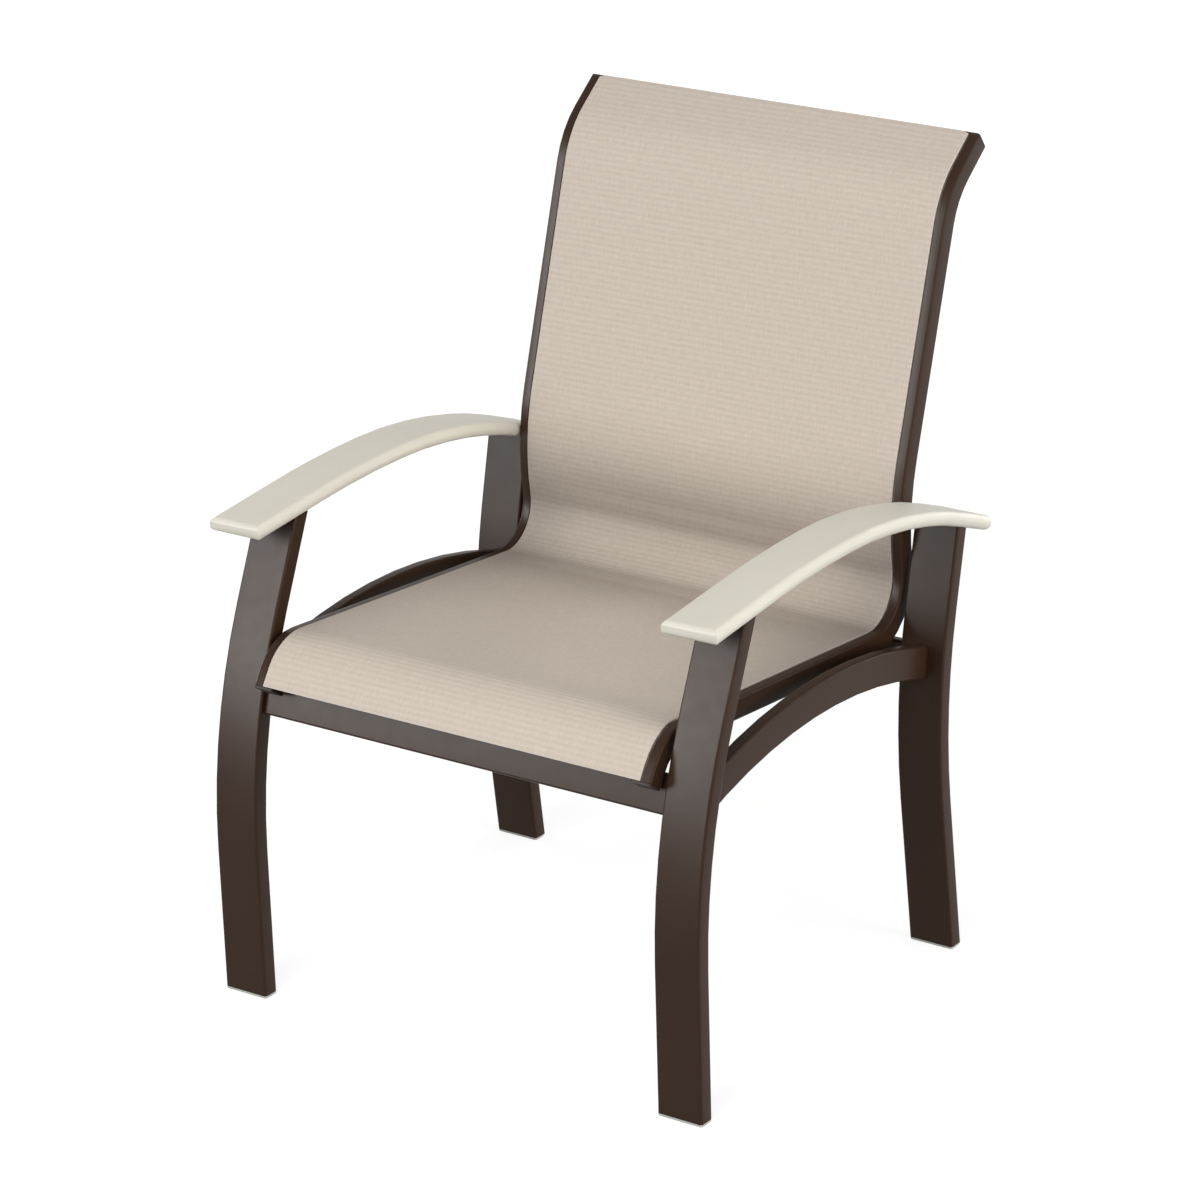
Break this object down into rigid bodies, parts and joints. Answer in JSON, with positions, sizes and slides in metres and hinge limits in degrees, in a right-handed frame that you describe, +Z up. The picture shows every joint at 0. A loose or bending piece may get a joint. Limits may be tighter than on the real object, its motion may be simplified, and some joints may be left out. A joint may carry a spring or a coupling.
{
  "type": "sling patio chair",
  "caption": "Patio dining armchair: flat tube frame with bowed legs, arched side braces and board arms, and a woven sling stretched between bent keyed rails.",
  "frame": {"origin": "on the ground at the middle of the chair's box", "axes": "+Z up, the seat faces -Y, +X towards the sitter's left (the right side seen from the front)"},
  "size_m": [0.676, 0.7124, 0.9654],
  "materials": {
    "frame": "satin dark brown powder coat",
    "arm": "satin pale beige polymer board",
    "sling": "woven beige mesh with fine cross ribs",
    "cap": "matt near-black plastic",
    "glide": "matt light grey plastic",
    "spline": "natural extruded rod",
    "steel": "plain stainless steel"
  },
  "bodies": {
    "root": {"front_leg_left": "frame", "rear_leg_left": "frame", "side_brace_left": "frame", "arm_strap_left": "frame", "sling_rail_left": "frame", "rail_tab_front_left": "frame", "rail_tab_rear_left": "frame", "front_leg_right": "frame", "rear_leg_right": "frame", "side_brace_right": "frame", "arm_strap_right": "frame", "sling_rail_right": "frame", "rail_tab_front_right": "frame", "rail_tab_rear_right": "frame", "front_stretcher": "frame", "rear_stretcher": "frame", "seat_spreader": "frame", "back_spreader": "frame", "arm_left": "arm", "arm_right": "arm", "sling": "sling", "rail_cap_front_left": "cap", "rail_cap_top_left": "cap", "seat_spreader_plug_left": "cap", "back_spreader_plug_left": "cap", "rail_cap_front_right": "cap", "rail_cap_top_right": "cap", "seat_spreader_plug_right": "cap", "back_spreader_plug_right": "cap", "front_glide_left": "glide", "rear_glide_left": "glide", "front_glide_right": "glide", "rear_glide_right": "glide", "sling_spline_left": "spline", "sling_spline_right": "spline", "arm_screw_left_1": "steel", "arm_screw_left_2": "steel", "arm_screw_left_3": "steel", "rail_bolt_front_left": "steel", "rail_bolt_rear_left": "steel", "rail_nut_front_left": "steel", "rail_nut_rear_left": "steel", "arm_screw_right_1": "steel", "arm_screw_right_2": "steel", "arm_screw_right_3": "steel", "rail_bolt_front_right": "steel", "rail_bolt_rear_right": "steel", "rail_nut_front_right": "steel", "rail_nut_rear_right": "steel"}
  },
  "joints": []
}
